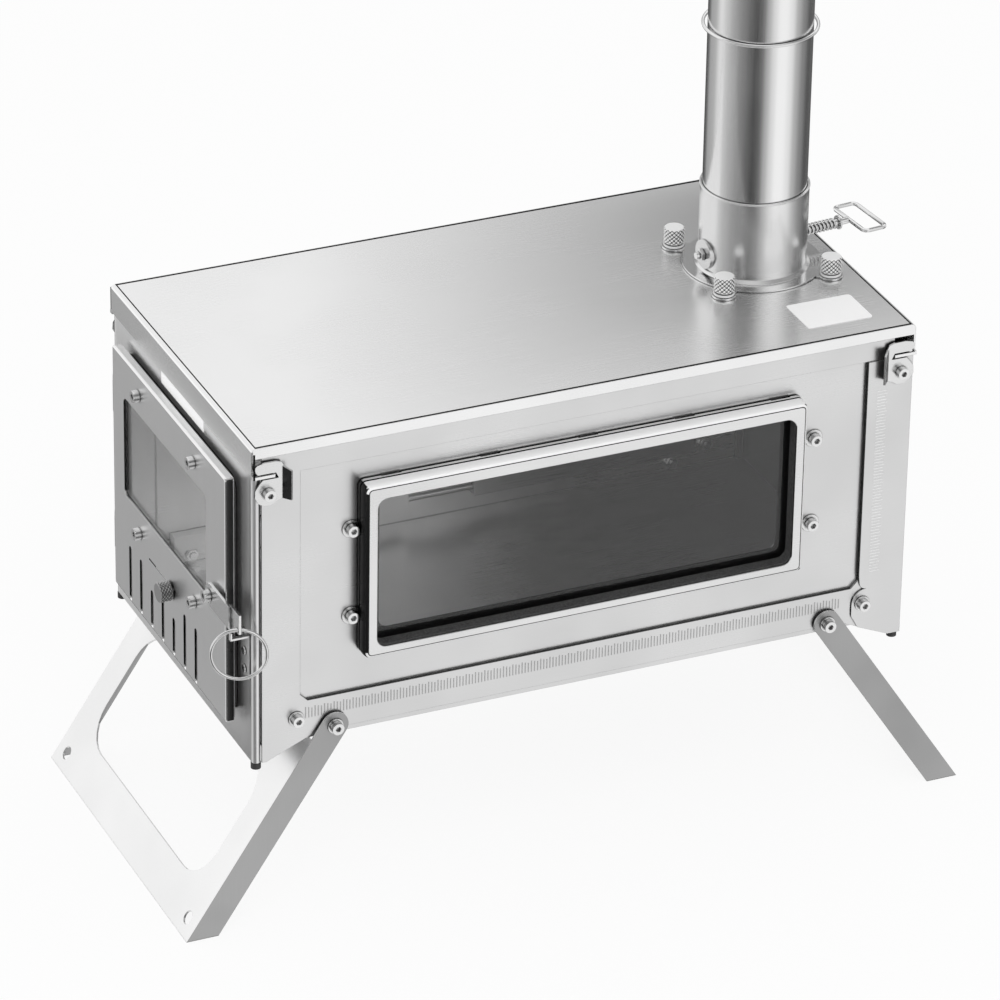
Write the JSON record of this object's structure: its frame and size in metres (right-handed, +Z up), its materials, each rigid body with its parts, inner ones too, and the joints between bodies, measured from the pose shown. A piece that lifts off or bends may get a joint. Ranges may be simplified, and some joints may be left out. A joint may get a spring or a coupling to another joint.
{
  "type": "tent wood stove",
  "caption": "Sheet-metal wood stove with side window, glazed door, flue pipe with damper, corner latches and two folding legs.",
  "frame": {"origin": "on the ground, midway along the length and width of the whole part", "axes": "+Z up, +X from the door end to the flue end, +Y from the window side to the plain side"},
  "size_m": [0.4828, 0.2308, 0.515],
  "materials": {
    "body_steel": "satin brushed stainless",
    "front_steel": "satin brushed stainless",
    "lid_steel": "satin brushed stainless",
    "door_steel": "satin brushed stainless",
    "trim_steel": "satin stainless",
    "leg_steel": "satin stainless",
    "screw_steel": "bright",
    "knurled_steel": "bright knurled",
    "pipe_steel": "bright rolled stainless",
    "wire_steel": "polished wire",
    "glass": "clear",
    "gasket": "woven glass fibre",
    "dark_feet": "matt black",
    "label": "matt white"
  },
  "bodies": {
    "stove": {"floor_tray": "body_steel", "near_side_panel": "body_steel", "far_side_panel": "body_steel", "front_panel": "front_steel", "back_panel": "body_steel", "corner_rods": "dark_feet", "near_wall_ledge": "body_steel", "far_wall_ledge": "body_steel", "window_frame": "trim_steel", "window_gasket": "gasket", "window_glass": "glass", "window_screws": "screw_steel", "panel_screws": "screw_steel", "leg_pivot_screws": "screw_steel", "leg_pivot_washers": "screw_steel", "latch_pivot_screws": "screw_steel", "inner_nuts": "screw_steel", "door_catch": "front_steel", "catch_rivets": "screw_steel", "panel_hinge_leaves": "front_steel", "hinge_pins": "screw_steel", "front_label": "label", "top_plate": "lid_steel", "flue_flange": "pipe_steel", "flue_collar": "pipe_steel", "flue_thumb_screws": "knurled_steel", "flue_nuts": "screw_steel", "top_label": "label", "damper_bush": "trim_steel", "damper_spring": "wire_steel"},
    "door": {"door_skin": "door_steel", "door_inner_plate": "door_steel", "door_glass": "glass", "door_glass_gasket": "gasket", "door_seal": "gasket", "door_screws": "screw_steel", "door_hinge_leaves": "door_steel", "latch_screw": "screw_steel", "air_slide_guides": "door_steel"},
    "air_slide": {"air_slide": "door_steel", "air_knob": "knurled_steel"},
    "door_latch": {"door_latch": "trim_steel", "latch_tongue": "trim_steel"},
    "latch_ring": {"latch_ring": "wire_steel"},
    "damper": {"damper_shaft": "pipe_steel", "damper_handle": "wire_steel", "damper_blade": "pipe_steel", "blade_rivets": "screw_steel", "damper_nut": "screw_steel", "spring_washer": "screw_steel"},
    "flue_pipe": {"flue_pipe": "pipe_steel"},
    "pipe_ring": {"pipe_ring": "wire_steel"},
    "near_front_latch": {"near_front_hook": "trim_steel"},
    "near_rear_latch": {"near_rear_hook": "trim_steel"},
    "far_front_latch": {"far_front_hook": "trim_steel"},
    "far_rear_latch": {"far_rear_hook": "trim_steel"},
    "front_leg": {"front_leg": "leg_steel"},
    "rear_leg": {"rear_leg": "leg_steel"}
  },
  "joints": [
    {"name": "door_hinge", "type": "hinge", "parent": "stove", "child": "door", "pos_m": [-0.2035, 0.09362, 0.199], "axis": [0, 0, 1], "range_deg": [-135, 0]},
    {"name": "air_slide", "type": "slide", "parent": "door", "child": "air_slide", "axis": [0, 1, 0], "range_m": [0, 0.01]},
    {"name": "door_latch_pivot", "type": "hinge", "parent": "door", "child": "door_latch", "pos_m": [-0.2105, -0.06988, 0.1968], "axis": [-1, 0, 0], "range_deg": [-6, 35]},
    {"name": "latch_ring_swing", "type": "hinge", "parent": "door_latch", "child": "latch_ring", "pos_m": [-0.20915, -0.10787, 0.1942], "axis": [-0.9397, 0.342, 0], "range_deg": [0, 90]},
    {"name": "damper_turn", "type": "hinge", "parent": "stove", "child": "damper", "pos_m": [0.149, -0.00038, 0.315], "axis": [0.9954, 0.0958, 0], "range_deg": [0, 90]},
    {"name": "flue_pipe_pull", "type": "slide", "parent": "stove", "child": "flue_pipe", "axis": [0, 0, 1], "range_m": [0, 0.06]},
    {"name": "pipe_ring_slide", "type": "slide", "parent": "flue_pipe", "child": "pipe_ring", "axis": [0, 0, 1], "range_m": [-0.05, 0.05]},
    {"name": "near_front_latch_turn", "type": "hinge", "parent": "stove", "child": "near_front_latch", "pos_m": [-0.1918, -0.10718, 0.2755], "axis": [0, 1, 0], "range_deg": [0, 60]},
    {"name": "near_rear_latch_turn", "type": "hinge", "parent": "stove", "child": "near_rear_latch", "pos_m": [0.1918, -0.10718, 0.2755], "axis": [0, -1, 0], "range_deg": [0, 60]},
    {"name": "far_front_latch_turn", "type": "hinge", "parent": "stove", "child": "far_front_latch", "pos_m": [-0.1918, 0.10942, 0.2755], "axis": [0, 1, 0], "range_deg": [0, 60]},
    {"name": "far_rear_latch_turn", "type": "hinge", "parent": "stove", "child": "far_rear_latch", "pos_m": [0.1918, 0.10942, 0.2755], "axis": [0, -1, 0], "range_deg": [0, 60]},
    {"name": "front_leg_fold", "type": "hinge", "parent": "stove", "child": "front_leg", "pos_m": [-0.152, 0.00112, 0.121], "axis": [0, -1, 0], "range_deg": [0, 123.4]},
    {"name": "rear_leg_fold", "type": "hinge", "parent": "stove", "child": "rear_leg", "pos_m": [0.152, 0.00112, 0.121], "axis": [0, 1, 0], "range_deg": [0, 123.4]}
  ]
}
